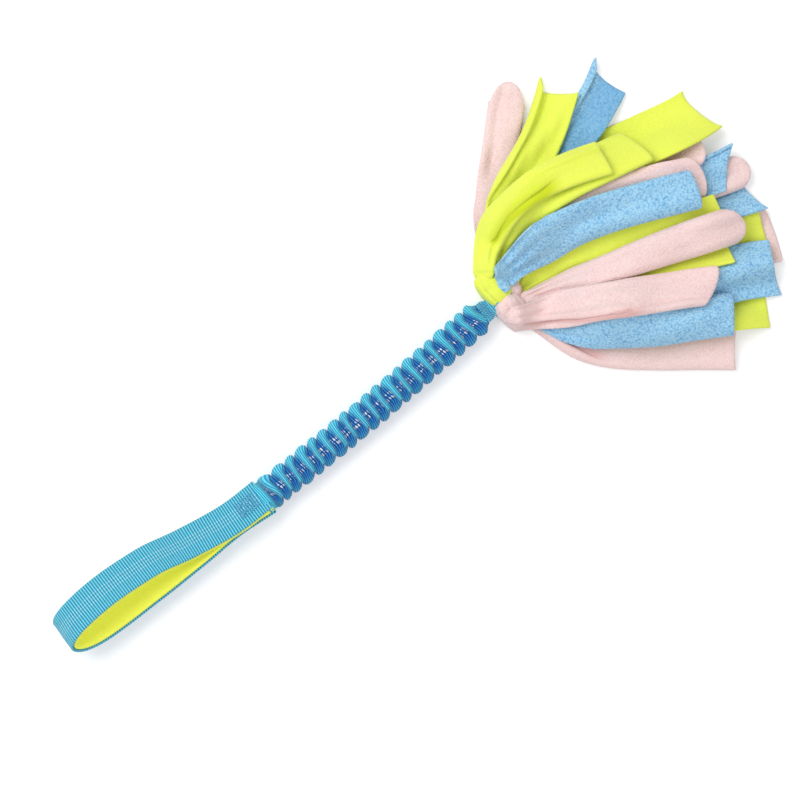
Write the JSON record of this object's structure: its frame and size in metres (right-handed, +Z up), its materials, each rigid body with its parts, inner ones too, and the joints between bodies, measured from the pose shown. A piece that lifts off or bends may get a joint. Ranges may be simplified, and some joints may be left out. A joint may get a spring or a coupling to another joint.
{
  "type": "dog tug toy",
  "caption": "Bungee dog tug toy lying on the floor: webbing hand loop with soft lining, gathered elastic webbing and a tassel of folded fleece strips.",
  "frame": {"origin": "point on the floor under the first gather, where the hand loop meets the bungee", "axes": "+X along the bungee towards the tassel, +Z up from the floor the toy lies on"},
  "size_m": [0.5112, 0.2286, 0.0415],
  "materials": {
    "webbing_blue": "ribbed woven",
    "thread_blue": "sewing thread",
    "lining_yellow": "soft fleece",
    "elastic_black": "matte",
    "fleece_pink": "napped fleece",
    "fleece_yellow": "napped fleece",
    "fleece_blue": "napped fleece"
  },
  "bodies": {
    "handle": {"handle_webbing": "webbing_blue", "handle_lining": "lining_yellow", "neck_stitching": "thread_blue"},
    "bungee": {"bungee_sleeve": "webbing_blue", "bungee_core": "elastic_black"},
    "end_loop": {"end_loop": "webbing_blue", "tab_stitching": "thread_blue"},
    "tassel": {"strip_bundle": "fleece_pink", "yellow_bight": "fleece_yellow", "pink_bight": "fleece_pink", "tail_pink_right": "fleece_pink", "tail_yellow_right": "fleece_yellow", "tail_blue_right": "fleece_blue", "tail_pink_low": "fleece_pink", "tail_yellow_low": "fleece_yellow", "tail_blue_wide": "fleece_blue", "tail_yellow_inner": "fleece_yellow", "tail_blue_middle": "fleece_blue", "tail_pink_tip": "fleece_pink", "tail_blue_tip": "fleece_blue", "tail_pink_under": "fleece_pink"},
    "upper_sheaf": {"blue_bight": "fleece_blue", "tail_yellow_wide": "fleece_yellow", "tail_pink_upper": "fleece_pink", "tail_yellow_middle": "fleece_yellow"},
    "pink_sheaf": {"tail_pink_middle": "fleece_pink"},
    "pink_top": {"tail_pink_top": "fleece_pink"},
    "left_sheaf": {"tail_pink_left": "fleece_pink", "tail_blue_left": "fleece_blue", "tail_yellow_left": "fleece_yellow", "tail_yellow_back": "fleece_yellow"},
    "yellow_top": {"tail_yellow_top": "fleece_yellow"},
    "blue_top": {"tail_blue_top": "fleece_blue"}
  },
  "joints": [
    {"name": "neck_bend", "type": "hinge", "parent": "handle", "child": "bungee", "pos_m": [-0.00502, 0.00243, 0.01413], "axis": [0, -0.8191, 0.5736], "range_deg": [0, 80]},
    {"name": "bungee_stretch", "type": "slide", "parent": "bungee", "child": "end_loop", "axis": [1, 0, 0], "range_m": [0, 0.11], "stiffness_N_per_m": 150, "deforming": ["bungee_sleeve", "bungee_core"]},
    {"name": "tassel_flap", "type": "hinge", "parent": "end_loop", "child": "tassel", "pos_m": [0.18348, 0, 0.01], "axis": [0, -1, 0], "range_deg": [0, 40]},
    {"name": "upper_lift", "type": "hinge", "parent": "tassel", "child": "upper_sheaf", "pos_m": [0.18348, 0, 0.01], "axis": [0, -1, 0], "range_deg": [0, 10]},
    {"name": "pink_middle_lift", "type": "hinge", "parent": "upper_sheaf", "child": "pink_sheaf", "pos_m": [0.18348, 0, 0.01], "axis": [-0.342, -0.9397, 0], "range_deg": [0, 10]},
    {"name": "pink_top_lift", "type": "hinge", "parent": "pink_sheaf", "child": "pink_top", "pos_m": [0.18348, 0, 0.01], "axis": [-0.2588, -0.9659, 0], "range_deg": [0, 20]},
    {"name": "left_lift", "type": "hinge", "parent": "upper_sheaf", "child": "left_sheaf", "pos_m": [0.18348, 0, 0.01], "axis": [0.7071, -0.7071, 0], "range_deg": [0, 20]},
    {"name": "yellow_top_lift", "type": "hinge", "parent": "left_sheaf", "child": "yellow_top", "pos_m": [0.18348, 0, 0.01], "axis": [0, -1, 0], "range_deg": [0, 20]},
    {"name": "blue_top_lift", "type": "hinge", "parent": "left_sheaf", "child": "blue_top", "pos_m": [0.18348, 0, 0.01], "axis": [0.5, -0.866, 0], "range_deg": [0, 20]}
  ]
}
